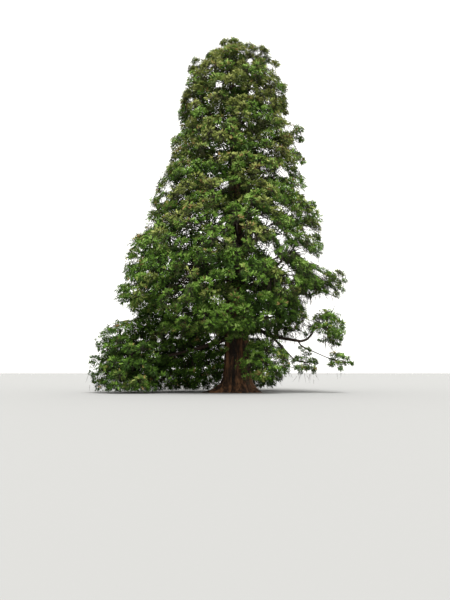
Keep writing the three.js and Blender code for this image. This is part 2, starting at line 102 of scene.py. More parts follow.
# Low boughs: name, radius at each end, the mass at its end, the points that it passes through
LOW_BOUGHS = [
    ("hook_inner", (0.18, 0.1), None,
     [(0.3, -0.05, 5.75), (0.95, -0.19, 5.3), (1.75, -0.36, 4.75), (2.65, -0.55, 4.28),
      (3.6, -0.75, 4.08), (4.83, -1.01, 3.85)]),
    ("hook_outer", (0.1, 0.06), "hook",
     [(4.83, -1.01, 3.85), (5.3, -1.11, 4.02), (5.7, -1.2, 4.5), (5.87, -1.25, 5.05)]),
    ("hook_side", (0.06, 0.032), "far_right",
     [(4.6, -0.96, 3.88), (4.9, -1.1, 3.48), (5.6, -1.35, 3.12), (6.45, -1.6, 2.72)]),
    ("straight", (0.11, 0.045), "droop",
     [(2.35, -0.49, 4.42), (3.1, -0.6, 3.8), (3.65, -0.68, 3.2), (4.25, -0.76, 2.56)]),
    ("front_right", (0.11, 0.06), "front_right",
     [(0.25, -0.25, 3.15), (0.9, -0.95, 3.0), (1.35, -1.65, 2.75)]),
    ("skirt_left", (0.21, 0.085), "skirt_left",
     [(-0.35, -0.05, 4.3), (-1.5, -0.25, 3.85), (-3.6, -0.62, 3.15), (-5.6, -0.9, 2.7)]),
    ("skirt_inner", (0.15, 0.08), "skirt_inner",
     [(-0.25, 0.15, 3.5), (-1.1, 0.5, 3.2), (-2.35, 0.95, 2.75)]),
    ("skirt_back", (0.16, 0.08), "skirt_back",
     [(0.05, 0.3, 3.9), (0.4, 1.2, 3.7), (0.85, 2.85, 3.15)]),
]
BOUGH_RADIUS = (0.17, 0.07)
# Share of the trunk's radius where a bough starts, its share of the way to the heart, how far its
# foot and tip are below that, and its sag for each metre of length
BOUGH = named(start=0.45, reach=0.6, foot=0.3, tip=0.25, sag=0.11, points=5)
STEM_RADIUS = (0.095, 0.045)
STEM_HEIGHTS = np.arange(-3.5, 0.401, 0.05)  # tried for a stem's foot, from the heart's height
STEM_SHARES = (1.1, 0.5)  # of the trunk's radius, where its space is tested and where it starts
# How far a stem starts inside what bears it, and how far it then runs straight on
BOUGH_JOINT = (0.15, 0.18)
TOP_JOINT = (0.3, 0.25)
LIMB_SIDES = 12
LIMB_STEP = 0.12  # between rings along a bough or a stem
KNOTS = named(swell=0.1, along=1.7, bump=0.16, round=2.5, drift=0.9)

# Open slits along the line from the eye, as seen against the upright plane through the trunk:
# x and height of the two ends, and the half-width
EYE = np.array((0.0, -48.0, 1.55))
SKY_GAPS = [
    (1.8, 11.65, 4.2, 9.15, 0.27), (4.75, 11.15, 6.15, 10.15, 0.34), (3.3, 12.6, 3.75, 11.2, 0.24),
    (2.05, 13.65, 2.6, 13, 0.3), (3.5, 17.4, 3.85, 17.25, 0.4), (2.65, 26.2, 2.8, 25.95, 0.22),
    (5.5, 12.85, 5.9, 11.65, 0.24), (-1.7, 13.3, -1.05, 13.95, 0.22), (3.5, 14.5, 4.1, 14.25, 0.26),
    (-4, 8.25, -4, 8.8, 0.24), (2.2, 19.15, 2.5, 18.95, 0.24),
]
# Where the trunk shows between the masses in front of it, in the same terms
GLIMPSES = [(0.15, 11.5, 0.05, 13, 0.2), (0.1, 9.3, 0.1, 9.8, 0.18), (0.02, 3, 0, 3.7, 0.45)]
# Narrower chinks by their half-width, which only the needles keep clear of
CHINKS = [(*ends, width) for width, lines in {
    0.06: [(2.35, 23.35, 2.55, 23.15)],
    0.08: [(3.3, 23.9, 3.5, 23.8)],
    0.09: [(1.2, 24, 1.4, 24), (1.37, 14.15, 1.4, 14.45), (4.3, 14.05, 4.55, 14.05)],
    0.1: [(-3.3, 25.4, -3.1, 25.35), (-3.85, 23.4, -3.65, 23.45), (1.55, 27.5, 1.8, 27.5),
        (2, 17.66, 2.25, 17.66), (0.65, 21.45, 0.85, 21.35), (1.38, 16.1, 1.4, 16.4),
        (-4.5, 15.2, -4.3, 15.2), (-2.5, 19.3, -2.3, 19.4), (4.25, 19.4, 4.5, 19.5)],
    0.11: [(0.95, 26.75, 1.2, 26.75), (5.35, 12.75, 5.5, 12.8), (1.3, 12.1, 1.4, 12.2),
        (3.65, 8.4, 3.95, 8.05), (-1.7, 18.7, -1.55, 18.75), (-4.3, 13.7, -4.15, 13.75),
        (-0.85, 12.75, -0.75, 12.85), (-1.75, 11.1, -1.7, 11.25)],
    0.12: [(-3.05, 12.4, -2.8, 12.75), (-1.05, 21.6, -0.95, 21.9), (-6, 15.1, -5.8, 15.15),
        (-5.1, 12, -4.9, 12.05), (4.25, 12.2, 4.5, 12.2), (5.1, 12, 5.25, 12.1), (5.6, 7.75, 5.8, 7.75),
        (4.35, 5.05, 4.4, 5.3), (1.9, 24.5, 2.1, 24.55), (1.2, 21.6, 1.4, 21.7),
        (-4.15, 11.3, -4.05, 11.5), (-2.25, 26.3, -2.05, 26.35), (-1.65, 16, -1.4, 16.05),
        (-1, 13.15, -0.9, 13.2), (-3.8, 12.15, -3.8, 12.4), (4.35, 8.5, 4.4, 8.75), (6.5, 4.3, 6.7, 4.35),
        (-3.6, 9.7, -3.6, 9.9), (-4.05, 9.2, -3.95, 9.3), (2.95, 3.6, 2.95, 3.8),
        (-6.8, 13.1, -6.7, 13.2)],
    0.13: [(3.4, 4.45, 3.45, 4.7), (-2.4, 23.2, -2.1, 23.35)],
    0.14: [(2, 4.3, 2.05, 4.8), (-1.5, 24.8, -1.2, 24.9), (-4.8, 7.45, -4.45, 7.7)],
    0.15: [(-3.9, 13.2, -3.1, 12.9), (4.1, 21.1, 4.3, 21), (-4.2, 12.65, -4, 12.35),
        (-1.6, 21.1, -1.5, 21.3)],
    0.16: [(4.15, 10.8, 4.2, 11.2), (-5.75, 16.05, -5.3, 15.95), (2.75, 11.4, 2.9, 11.6),
        (-1.15, 16.3, -0.8, 16.5)],
    0.17: [(6.1, 9.35, 6.9, 8.8)],
    0.18: [(5.9, 4.35, 6.1, 4.4), (4.95, 7.3, 5.2, 7.25)],
    0.2: [(-1.3, 11.8, -1.2, 12)],
    0.24: [(5.1, 5, 5.6, 5.3)],
    0.26: [(4.2, 4.3, 4.8, 4.35)],
}.items() for ends in lines]

# Loose foliage beyond the rounded masses: middle and half-sizes of its oval space, and its kind,
# which is "outer" where none is given
DRAPES = [
    (-3.9, -0.3, 3.9, 3, 1.4, 0.75), (-3.4, -0.2, 2.2, 2.7, 1.6, 1.9),
    (-4.4, 0.4, 3.2, 2.6, 0.9, 1.2, "inner"), (-3, 0.4, 1.9, 2.1, 0.9, 1.6, "inner"),
    (-7.4, -0.8, 2.3, 2.6, 2.2, 2, "inner"), (-7.6, -0.8, 2.6, 2.7, 2.4, 2.1),
    (-1.45, -0.2, 3.2, 0.7, 1.2, 1.3), (-7.7, -0.6, 4.2, 1.1, 0.9, 0.4), (-6.2, -0.5, 4.6, 1.6, 1.2, 0.9),
    (-7.2, -0.6, 4.7, 0.6, 0.5, 0.25), (-7.5, -0.6, 3.2, 2.2, 1.4, 1.4, "inner"),
    (-0.1, -1.75, 4.1, 0.7, 0.4, 0.45), (4.9, -1.05, 3.3, 0.55, 0.4, 0.4, "sparse"),
    (7.35, -1.4, 4, 0.6, 0.6, 0.45, "sparse"), (3, -0.8, 4.8, 1.7, 0.7, 0.75, "sparse"),
    (5, -0.9, 5, 1.1, 0.5, 0.8, "sparse"), (7.4, -0.6, 8.3, 0.95, 0.7, 1.2, "sparse"),
    (-0.2, -0.4, 27.55, 1, 0.6, 0.15, "sparse"), (1.6, -0.5, 27.3, 0.6, 0.5, 0.15, "sparse"),
    (3.55, -0.4, 22.8, 0.3, 0.4, 0.6, "sparse"), (4.55, -0.5, 20.4, 0.4, 0.4, 0.3, "sparse"),
    (6.2, -0.6, 11.5, 0.25, 0.5, 0.9), (5.5, -0.5, 14.5, 0.5, 0.5, 0.3), (4.9, -0.5, 16, 0.3, 0.5, 0.8),
    (4.75, -0.5, 18.2, 0.3, 0.5, 0.7), (4.2, -0.5, 20.25, 0.6, 0.5, 0.4),
    (4.75, -0.5, 20.7, 0.35, 0.4, 0.12), (5.05, -0.5, 20.1, 0.2, 0.4, 0.2),
    (3.65, -0.4, 22.8, 0.25, 0.5, 0.6), (3.3, -0.3, 22.7, 0.6, 0.6, 1), (3.6, -0.3, 24.1, 0.2, 0.5, 0.3),
    (0.8, -0.3, 26.8, 1.9, 0.8, 0.3), (0.6, 0, 26.6, 2, 0.8, 0.5, "inner"),
    (-2.4, -0.4, 26.2, 0.6, 0.6, 0.4), (2.95, -0.5, 26.1, 0.25, 0.4, 0.35),
    (2.4, -0.6, 27.1, 0.3, 0.5, 0.12), (1.1, -0.5, 27.55, 0.7, 0.6, 0.15),
    (1.65, -0.5, 27.05, 0.75, 0.6, 0.25), (-0.4, -0.5, 27.9, 0.8, 0.7, 0.12),
    (-0.6, -0.4, 27.2, 1.2, 0.8, 0.25), (-1.9, -0.4, 27.2, 0.5, 0.6, 0.15),
    (-2.95, -0.4, 26.45, 0.35, 0.6, 0.2), (-3.35, -0.4, 25.9, 0.25, 0.5, 0.35),
    (-4, -0.4, 23.4, 0.3, 0.5, 0.7), (-4.6, -0.4, 19.9, 0.3, 0.5, 0.8), (-7.4, -0.5, 11.7, 0.5, 0.6, 0.4),
    (-6.2, -0.5, 15, 0.3, 0.4, 0.35),
]
DRAPE_TRIES = 400

# How foliage grows on from each heart
MARCH_STEP, MARCH_REACH = 0.06, 9.0
OPEN_SLACK = 0.4  # a twig that ends this near the outline ends in open air
GROUND_CLEARANCE = 0.06
GOLDEN_ANGLE = math.pi * (3 - math.sqrt(5))
DIRECTIONS = 520
# Rounded lumps on the outline: how far apart, how round, how deep the folds between them, and how
# much sooner they turn in below than above
LUMPS = named(spacing=2.1, radius=1.5, deepest=0.95, under=1.6, over=0.85)
LOW_LUMPS = named(spacing=1.5, radius=1.15, deepest=0.5, under=1.4, over=0.9)
LUMP_SPREAD = (0.8, 1.2)
# Plumes: how far apart, how far inside the outline, the radius of the head, its knobs and sprays,
# a spray's length, and how far round the head they go, from 1 at its crown to -1 at its foot
PLUMES = {
    "outer": named(spacing=0.82, inset=0.14, radius=0.54, tufts=7, sprays=84, length=0.255, spread=-0.3),
    "inner": named(spacing=1.25, inset=1.45, radius=0.7, tufts=5, sprays=38, length=0.46, spread=-0.75),
    "sparse": named(spacing=0.6, inset=0.3, radius=0.36, tufts=5, sprays=54, length=0.19, spread=-0.5),
}
PLUME_SHARE = (0.8, 1.25)  # of that spacing and radius
FLATTEN = 0.74  # plumes are wider than tall
OUTER_RUN, INNER_RUN = 0.45, 1.2  # the least room from the heart
INNER_SHARE, LEAST_REACH = 0.86, 0.2
PLUME_FLOOR, SPRAY_FLOOR, TWIG_FLOOR = 0.3, 0.03, 0.05
GAP_EDGE = (-0.05, 0.25)  # how near plumes come to the gaps
RAGGED = {"gap": (-0.22, 0.06), "chink": (-0.04, 0.1)}  # how near their sprays come
GLIMPSE_FRONT = -0.5  # sprays behind this don't hide the trunk
TRUNK_ROOM = 1.05  # share of the trunk's radius that sprays keep clear of
THINNED = named(right_of=0.8, below=6.5, rate=1.3, most=0.85)  # where the underside is open
OUTLINE_LIMIT = (0.97, 1.05)
BOX_MARGIN = 0.027  # share of each side of the part's box that foliage may pass it by
FULL_TURN = 6.28
# A head: how it faces, how loose its sprays and knobs are, how they swell it, and how deep the
# sprays sit in it, in a filled head from its middle outwards
HEAD = named(outward=0.7, upward=0.65, loose=0.1, knobs_loose=0.25, knobs_spread=0.6,
             depth=(0.86, 1.06), filled=(0.15, 1), fill_power=0.5)
SWELL = named(least=0.78, rise=0.34, start=0.72, over=0.28, middle=0.95, half=0.17)
SPRAY_WAY = named(head=0.62, away=0.5, loose=0.3, down=0.1, normal_loose=0.45)
SPRAY_LENGTH = (0.7, 1.3)
# Painted light and shade: a spray is paler on top of its plume and on the knobs, and painted shade makes
# the inner plumes deeper
LIGHT = named(middle=0.5, above=0.42, knob=0.11, inner=0.55)  # paler above and on knobs
# A spray one metre long: its arch, its teeth and the two needles that stand up from it
TEETH = named(arch=0.05, out=0.3, shorter=0.22, upright=0.3)
STANDING = named(lean=0.8, aside=0.03, height=0.24)
PIECE_TRIANGLES = 190000

# Twigs: the radius at each end, and the sag; the first kind is thicker when longer
TWIG_SIDES, TWIG_INSET = 3, 0.03
LIMB_TWIG = named(thick=0.018, more=0.008, thin=0.012, sag=0.05)
KNOB_TWIG, KNOB_REACH = (0.013, 0.006, 0.03), 0.92
# Where a side limb leaves its stem: how far back for each metre aside, the first share of the
# stem that it may, and from which share on it starts at the heart where the stem has a bough
SIDE_LIMB = named(back=0.75, first=0.25, by_heart=0.9, inside=0.1, bearer_step=0.2)
# Fine twigs below the plumes: more and longer ones near a gap
HANGING = named(near_gap=0.9, count=(11, 4), longer=1.4, scatter=0.24, length=(0.4, 0.9), outward=0.35,
                down=0.8, loose=0.35, thin=0.006)

# Seeds of the random draws
DRAWS = named(plumes=11, sprays=23, shades=31, twigs=41, forms=47)

# Needles from deep to pale, picked by painted light and shade and by random tone, first the green ones
# and then the olive, then dead tips
GREENS = [(44, 66, 22), (68, 98, 28), (96, 128, 48), (128, 154, 78)]
OLIVES = [(58, 68, 30), (90, 102, 44), (124, 134, 66), (150, 156, 90)]
RUSTS = [(140, 118, 72), (118, 98, 58)]
# What makes a spray paler or deeper: painted light (paler on top of its plume and higher up the tree),
# painted shade (deeper on the skirt masses) and random tone; how many are olive, and where the dead ones
# are
SHADE = named(light=0.56, plume=0.09, spray=0.23, skirt=-0.13, crown=0.13, rise=0.0055, level=13.5)
OLIVE = named(plume=0.7, spray=0.3, low=0.22, rise=0.5, start=6, over=22, share=(0.15, 0.75))
RUST = named(plumes=0.1, more=0.1, above=12, sprays=(0.24, 0.02), lit=0.45)

# Camera, as in the photograph
FOCAL_PIXELS, IMAGE_HEIGHT, SENSOR = 620, 600, 36
PITCH, YAW = 6.62, 1.1

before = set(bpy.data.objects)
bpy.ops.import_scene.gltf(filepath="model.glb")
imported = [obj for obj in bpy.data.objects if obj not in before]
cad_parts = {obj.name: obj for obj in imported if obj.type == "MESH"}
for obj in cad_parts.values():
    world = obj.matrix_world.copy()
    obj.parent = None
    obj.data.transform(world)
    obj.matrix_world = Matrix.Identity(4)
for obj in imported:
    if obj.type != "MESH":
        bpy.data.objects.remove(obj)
cad_low, cad_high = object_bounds()
BOX_SIZE = np.array(cad_high) - np.array(cad_low)
BOX_SIZE[2] = cad_high[2]
BOX_LOW = np.array(cad_low) - BOX_MARGIN * BOX_SIZE
BOX_LOW[2] = SPRAY_FLOOR
BOX_HIGH = np.array(cad_high) + BOX_MARGIN * BOX_SIZE


# The part's own rule, in metres

def seeded(seed):
    """The same run of numbers from 0 to 1 each time for the same seed."""
    state = seed

    def following():
        nonlocal state
        state = (state * 1664525 + 1013904223) & 0xFFFFFFFF
        return state / 4294967296

    return following


def axis_at(z):
    z = np.asarray(z, float)
    t = (np.maximum(z, 0) / CROWN_TOP) ** LEAN_POWER
    return np.stack([LEAN[0] * t, LEAN[1] * t, z], -1)


def trunk_radius(z):
    def taper(h):
        return np.maximum(1 - np.asarray(h, float) / TRUNK_TOP, 0) ** TRUNK_TAPER

    body = TRUNK_TIP_RADIUS + (TRUNK_RADIUS - TRUNK_TIP_RADIUS) * taper(z) / taper(RADIUS_HEIGHT)
    return body + FLARE * np.exp(-np.asarray(z, float) / FLARE_HEIGHT)


def crown_reach(z, angle):
    """How far the crown reaches at this height in this direction."""
    left, right, depth = (np.interp(z, PROFILE[:, 0], PROFILE[:, k]) for k in (1, 2, 3))
    side = np.cos(angle)
    share = side * side
    reach = share * np.where(side < 0, left, right) + (1 - share) * depth
    return np.where(np.asarray(z) >= CROWN_TOP, 1e-6, reach)


def toward(angle):
    return np.array((math.cos(angle), math.sin(angle), 0.0))


def unit(v):
    v = np.asarray(v, float)
    return v / np.maximum(norm(v, axis=-1, keepdims=True), 1e-9)


def bough_path(heart, angle, height):
    """From inside the trunk towards a mass's heart, sagging on the way."""
    start = axis_at(height) + BOUGH.start * trunk_radius(height) * toward(angle)
    tip = start + BOUGH.reach * (heart - start)
    tip[2] = heart[2] - BOUGH.tip
    sag = BOUGH.sag * norm(tip - start)
    t = np.linspace(0, 1, BOUGH.points)[:, None]
    path = start + t * (tip - start)
    path[:, 2] -= (sag * 4 * t * (1 - t))[:, 0]
    return path


def seed_of(kind, row, number):
    return int(np.dot(SEEDS[kind], (1, row, number)))


def plan_tree():
    """The masses with their hearts, and the boughs with their paths, as the part has them."""
    masses, boughs = [], []
    for row, (tier_height, count, turn, heart_share, bough_count) in enumerate(TIERS):
        for i in range(count):
            following = seeded(seed_of("place", row, i))
            aside, above = (following() - 0.5 if count > 1 else 0 for _ in range(2))
            angle = math.radians(turn + 360 * i / count + JITTER.angle * aside)
            height = tier_height + JITTER.height * above
            out = heart_share * float(crown_reach(height, angle))
            heart = axis_at(height) + out * toward(angle)
            label = f"{row + 1}_{i + 1}"
            mass = {"node": f"foliage_{label}", "heart": heart, "angle": angle, "low": False,
                    "dense": True, "seed": seed_of("twigs", row, i), "high": row < HIGH_TIERS}
            if i < bough_count:
                path = bough_path(heart, angle, height - BOUGH.foot)
                boughs.append({"node": f"bough_{label}", "path": path, "radius": BOUGH_RADIUS})
                mass["bough"] = boughs[-1]
            masses.append(mass)
    for name, radius, end, path in LOW_BOUGHS:
        boughs.append({"node": f"bough_{name}", "path": np.array(path, float), "radius": radius,
                       "end": end})
    for i, (name, heart, half, dense) in enumerate(LOW_MASSES):
        masses.append({"node": f"foliage_{name}", "heart": np.array(heart, float), "low": True,
                       "half": np.array(half), "dense": dense, "seed": seed_of("low", 0, i),
                       "high": False, "bough": next(b for b in boughs if b.get("end") == name)})
    return masses, boughs


masses, boughs = plan_tree()
hearts = np.array([m["heart"] for m in masses])


def wall_clearance(index, points):
    """How far points lie inside a mass's own space, which is what is nearest to its heart."""
    others = np.delete(np.arange(len(hearts)), index)
    apart = hearts[others] - hearts[index]
    length = norm(apart, axis=1)
    normals = apart / length[:, None]
    offsets = (normals * hearts[index]).sum(1) + length / 2
    return (offsets - points @ normals.T).min(-1)


def outline_share(mass, points):
    """Below 1 inside the outline that a mass fills, above 1 outside."""
    if mass["low"]:
        return norm((points - mass["heart"]) / mass["half"], axis=-1)
    z = points[..., 2]
    from_axis = points - axis_at(z)
    angle = np.arctan2(from_axis[..., 1], from_axis[..., 0])
    share = np.hypot(from_axis[..., 0], from_axis[..., 1]) / crown_reach(z, angle)
    return np.where((z < CROWN_FLOOR) | (z > CROWN_TOP), np.inf, share)


def stem_foot(index, mass):
    """Where the mass's own space is widest along the trunk, for a stem that has no bough."""
    heights = mass["heart"][2] + STEM_HEIGHTS
    out = toward(mass["angle"])
    tested, feet = (axis_at(heights) + (share * trunk_radius(heights))[:, None] * out
                    for share in STEM_SHARES)
    return feet[np.argmax(wall_clearance(index, tested))]


def stem_path(index, mass):
    if "bough" in mass:
        path = mass["bough"]["path"]
        start, ahead = path[-1], unit(path[-1] - path[-2])
        inside, straight = BOUGH_JOINT
        return np.array([start - inside * ahead, start, start + straight * ahead, mass["heart"]])
    if mass["node"] == "foliage_1_1":
        tip = axis_at(TRUNK_TOP)
        inside, straight = TOP_JOINT
        return np.array([tip - (0, 0, inside), tip + (0, 0, straight), mass["heart"]])
    return np.array([stem_foot(index, mass), mass["heart"]])


def gap_clearance(points, gaps):
    """How far points stand off the slits, across the line of sight."""
    spread = 1 + points[..., 1] / -EYE[1]
    seen = EYE[[0, 2]] + (points[..., [0, 2]] - EYE[[0, 2]]) / spread[..., None]
    least = np.full(points.shape[:-1], np.inf)
    for x, z, x2, z2, radius in gaps:
        start, along = np.array((x, z)), np.array((x2 - x, z2 - z))
        t = np.clip(((seen - start) @ along) / (along @ along), 0, 1)
        off = norm(seen - start - t[..., None] * along, axis=-1)
        least = np.minimum(least, (off - radius) * spread)
    return least


def spiral(count, spread, turn):
    """Height, x and y of directions by the golden spiral, from straight up down to the spread."""
    k = np.arange(count)
    height = 1 - (k + 0.5) / count * (1 - spread)
    level = np.sqrt(np.maximum(1 - height * height, 0))
    around = turn + k * GOLDEN_ANGLE
    return height, level * np.cos(around), level * np.sin(around)


# Where the plumes grow

def spread_out(points, spacing):
    """Which points stay, in their order, when none is nearer than the spacing to one before it."""
    kept, places = [], []
    for i, p in enumerate(points):
        if places and (np.sum((np.array(places) - p) ** 2, axis=1) < spacing[i] ** 2).any():
            continue
        kept.append(i)
        places.append(p)
    return np.array(kept, int)


def fold_depth(ends, lumps, rule):
    """How far the surface draws in at each point, between the rounded lumps that it is made of."""
    off = ends[:, None, :] - lumps[None]
    off[..., 2] *= np.where(off[..., 2] < 0, rule.under, rule.over)
    nearest = norm(off, axis=-1).min(1)
    radius = rule.radius
    depth = radius - np.sqrt(np.maximum(radius ** 2 - nearest ** 2, 0))
    return np.minimum(depth, rule.deepest)


def look_round(index, mass):
    """Directions from a heart, how far each runs, whether it ends in the open, and its end."""
    height, x, y = spiral(DIRECTIONS, -1, 2 * math.pi * seeded(mass["seed"])())
    directions = np.stack([x, y, height], -1)
    along = np.arange(MARCH_STEP, MARCH_REACH, MARCH_STEP)
    points = mass["heart"] + directions[:, None, :] * along[None, :, None]
    outside = (outline_share(mass, points) > 1) | (points[..., 2] < GROUND_CLEARANCE)
    crossed = wall_clearance(index, points) < 0
    outline, run = (np.where(stopped.any(1), stopped.argmax(1), len(along)) * MARCH_STEP
                    for stopped in (outside, outside | crossed))
    return directions, run, outline - run < OPEN_SLACK, mass["heart"] + directions * run[:, None]


def place_lumps(looks, rng):
    """The middles of the rounded lumps, on the crown and on the low masses."""
    lumps = {}
    for low, rule in ((False, LUMPS), (True, LOW_LUMPS)):
        shell = np.concatenate([ends[is_open] for mass, (_, _, is_open, ends) in zip(masses, looks)
                                if mass["low"] == low])
        shell = rng.permutation(shell)
        lumps[low] = shell[spread_out(shell, rule.spacing * rng.uniform(*LUMP_SPREAD, len(shell)))]
    return lumps


def rows_on_masses(looks, lumps, rng):
    """Where plumes may grow on the lines from the hearts, in a mixed order."""
    rows = []
    for index, (mass, (directions, run, is_open, ends)) in enumerate(zip(masses, looks)):
        depth = fold_depth(ends, lumps[mass["low"]], LOW_LUMPS if mass["low"] else LUMPS)
        for kind in ("outer", "inner") if mass["dense"] else ("sparse",):
            reach = run - depth - PLUMES[kind].inset
            if kind == "inner":
                wanted = run > INNER_RUN
                reach = np.where(is_open, reach, run * INNER_SHARE)
            else:
                wanted = (is_open | mass["low"]) & (run > OUTER_RUN)
            middles = mass["heart"] + directions * np.maximum(reach, LEAST_REACH)[:, None]
            rows += [(kind, index, middles[k], directions[k], False) for k in np.flatnonzero(wanted)]
    return [rows[k] for k in rng.permutation(len(rows))]


def rows_in_drapes(rng):
    """Where loose plumes may grow, each counted to the mass with the nearest heart."""
    rows = []
    for drape in DRAPES:
        middle, half = np.array(drape[:6], float).reshape(2, 3)
        kind = drape[6] if len(drape) > 6 else "outer"
        within = unit(rng.normal(size=(DRAPE_TRIES, 3))) * rng.random((DRAPE_TRIES, 1)) ** 0.5
        for place in middle + within * half:
            index = int(np.argmin(norm(hearts - place, axis=1)))
            rows.append((kind, index, place, unit(place - axis_at(place[2]) + within[0]), True))
    return rows


def grow_plumes():
    """Each plume's kind, mass, middle, way it faces, whether it is loose, and share of the size."""
    looks = [look_round(index, mass) for index, mass in enumerate(masses)]
    rng = np.random.default_rng(DRAWS.plumes)
    lumps = place_lumps(looks, rng)
    on_masses = rows_on_masses(looks, lumps, rng)
    rows = rows_in_drapes(rng) + on_masses
    chosen = []
    for kind, rule in PLUMES.items():
        of_kind = [r for r in rows if r[0] == kind]
        middles = np.array([r[2] for r in of_kind])
        x, z = middles[:, 0], middles[:, 2]
        bareness = np.clip(THINNED.rate * (THINNED.below - z), 0, THINNED.most)
        thin = (x > THINNED.right_of) & (rng.random(len(x)) < bareness)
        thin &= np.array([not r[4] and not masses[r[1]]["low"] for r in of_kind])
        keep = gap_clearance(middles, SKY_GAPS) > rng.uniform(*GAP_EDGE, len(x))
        keep &= (z > PLUME_FLOOR) & ~thin
        of_kind, middles = [r for r, k in zip(of_kind, keep) if k], middles[keep]
        share = rng.uniform(*PLUME_SHARE, len(middles))
        kept = spread_out(middles, rule.spacing * share)
        chosen += [(*of_kind[k], share[k]) for k in kept]
    return chosen


# Sprays, as joined arrays

def spray_form(teeth, lean, fold):
    """A toothed blade of needles one metre long: points, then triangles on the cord's two sides."""
    cord = [(k / teeth, 0.0, TEETH.arch * math.sin(math.pi * k / teeth)) for k in range(teeth + 1)]
    points, triangles = list(cord), []
    for k in range(teeth):
        out = TEETH.out * (1 - TEETH.shorter * k)
        on = cord[k + 1][0] + lean * (1 - TEETH.upright * k)
        for side in (-1, 1):
            points.append((on, side * out, fold if k % 2 == 0 else -fold))
            tip = len(points) - 1
            triangles.append((k, k + 1, tip) if side > 0 else (k + 1, k, tip))
    for k, up in ((0, 1), (1, -1)):
        on = cord[k + 1][0] + lean * STANDING.lean
        points.append((on, STANDING.aside, up * STANDING.height))
        triangles.append((k, k + 1, len(points) - 1))
    return np.array(points), np.array(triangles)


SPRAY_FORMS = [spray_form(3, 0.16, 0.05), spray_form(3, 0.05, 0.12), spray_form(3, 0.24, -0.04)]


def across_of(ahead):
    """Two unit vectors square to each direction."""
    helper = np.where(np.abs(ahead[..., 2:3]) < 0.9, (0.0, 0.0, 1.0), (1.0, 0.0, 0.0))
    side = unit(np.cross(helper, ahead))
    return side, np.cross(ahead, side)


def fan_directions(ahead, count, spread, turn, rng, loose):
    """Directions by the golden spiral round each one ahead."""
    side, up = across_of(ahead)
    height, x, y = spiral(count, spread, turn[:, None])
    way = (ahead[:, None] * height[:, None] + side[:, None] * x[..., None]
           + up[:, None] * y[..., None])
    return unit(way + loose * rng.normal(size=way.shape))


UP = np.array((0.0, 0.0, 1.0))


def grow_heads(kind, rule, rng):
    """The sprays of all plumes of one kind, as rounded and knobbly heads, and the twigs inside."""
    number = np.array([i for i, plume in enumerate(plumes) if plume[0] == kind])
    mass, middle, outward, loose, share = (np.array([plumes[i][k] for i in number])
                                           for k in range(1, 6))
    facing = unit(outward * HEAD.outward + UP * HEAD.upward)
    turn = rng.uniform(0, FULL_TURN, len(number))
    head = fan_directions(facing, rule.sprays, rule.spread, turn, rng, HEAD.loose)
    knobs = fan_directions(facing, rule.tufts, rule.spread * HEAD.knobs_spread, turn + 1,
                           rng, HEAD.knobs_loose)
    near = np.einsum("nsi,nti->nst", head, knobs).max(-1)
    swell = SWELL.least + SWELL.rise * np.clip((near - SWELL.start) / SWELL.over, 0, 1)
    out = (rule.radius * share)[:, None, None] * np.array((1, 1, FLATTEN))
    depth = rng.uniform(*HEAD.depth, near.shape)
    inward = rng.uniform(*HEAD.filled, near.shape) ** HEAD.fill_power
    depth = np.where((loose | (kind == "sparse"))[:, None], depth * inward, depth)
    place = middle[:, None] + head * out * (swell * depth)[..., None]
    away = unit(head - facing[:, None] * (head * facing[:, None]).sum(-1, keepdims=True))
    ahead = unit(SPRAY_WAY.head * head + SPRAY_WAY.away * away
                 + SPRAY_WAY.loose * rng.normal(size=head.shape) - SPRAY_WAY.down * UP)
    length = rule.length * rng.uniform(*SPRAY_LENGTH, near.shape)
    # Painted light: paler on the plume's top and on its knobs; painted shade: deeper in the inner plumes
    light = (LIGHT.middle + LIGHT.above * head[..., 2]
             + LIGHT.knob * (swell - SWELL.middle) / SWELL.half
             - (LIGHT.inner if kind == "inner" else 0))
    normal = head + SPRAY_WAY.normal_loose * rng.normal(size=head.shape)
    root = place - ahead * length[..., None] * 0.5
    sprays = {"length": length.ravel(), "light": light.ravel()}
    for key, each in (("root", root), ("ahead", ahead), ("normal", normal)):
        sprays[key] = each.reshape(-1, 3)
    for key, each in (("mass", mass), ("plume", number), ("loose", loose)):
        sprays[key] = np.repeat(each, rule.sprays)
    tips = (middle[:, None] + knobs * out * KNOB_REACH).reshape(-1, 3)
    return sprays, (np.repeat(middle, rule.tufts, 0), tips)


def grow_sprays():
    """All sprays that have room, and the twigs inside the plumes."""
    rng = np.random.default_rng(DRAWS.sprays)
    heads, twigs = zip(*[grow_heads(kind, rule, rng) for kind, rule in PLUMES.items()])
    sprays = {key: np.concatenate([each[key] for each in heads]) for key in heads[0]}
    root, tip = sprays["root"], sprays["root"] + sprays["ahead"] * sprays["length"][:, None]
    width = TEETH.out * sprays["length"][:, None]
    slack = {key: rng.uniform(*RAGGED[key], len(plumes))[sprays["plume"]] for key in RAGGED}
    fits = np.ones(len(root), bool)
    for end in (root, tip):
        fits &= ((end - width > BOX_LOW) & (end + width < BOX_HIGH)).all(1)
        fits &= gap_clearance(end, SKY_GAPS) > slack["gap"]
        fits &= gap_clearance(end, CHINKS) > slack["chink"]
        fits &= (gap_clearance(end, GLIMPSES) > slack["chink"]) | (end[:, 1] > GLIMPSE_FRONT)
        from_axis = end - axis_at(end[:, 2])
        fits &= np.hypot(from_axis[:, 0], from_axis[:, 1]) > trunk_radius(end[:, 2]) * TRUNK_ROOM
    for index, mass in enumerate(masses):
        own = sprays["mass"] == index
        limit = rng.uniform(*OUTLINE_LIMIT, own.sum())
        fits[own] &= (outline_share(mass, tip[own]) < limit) | sprays["loose"][own]
    return {key: value[fits] for key, value in sprays.items()}, twigs


def copies(points, faces):
    """The points and triangles of all copies of a form, from the points of each copy."""
    first = np.arange(len(points)) * points.shape[1]
    return points.reshape(-1, 3), (faces + first[:, None, None]).reshape(-1, 3)


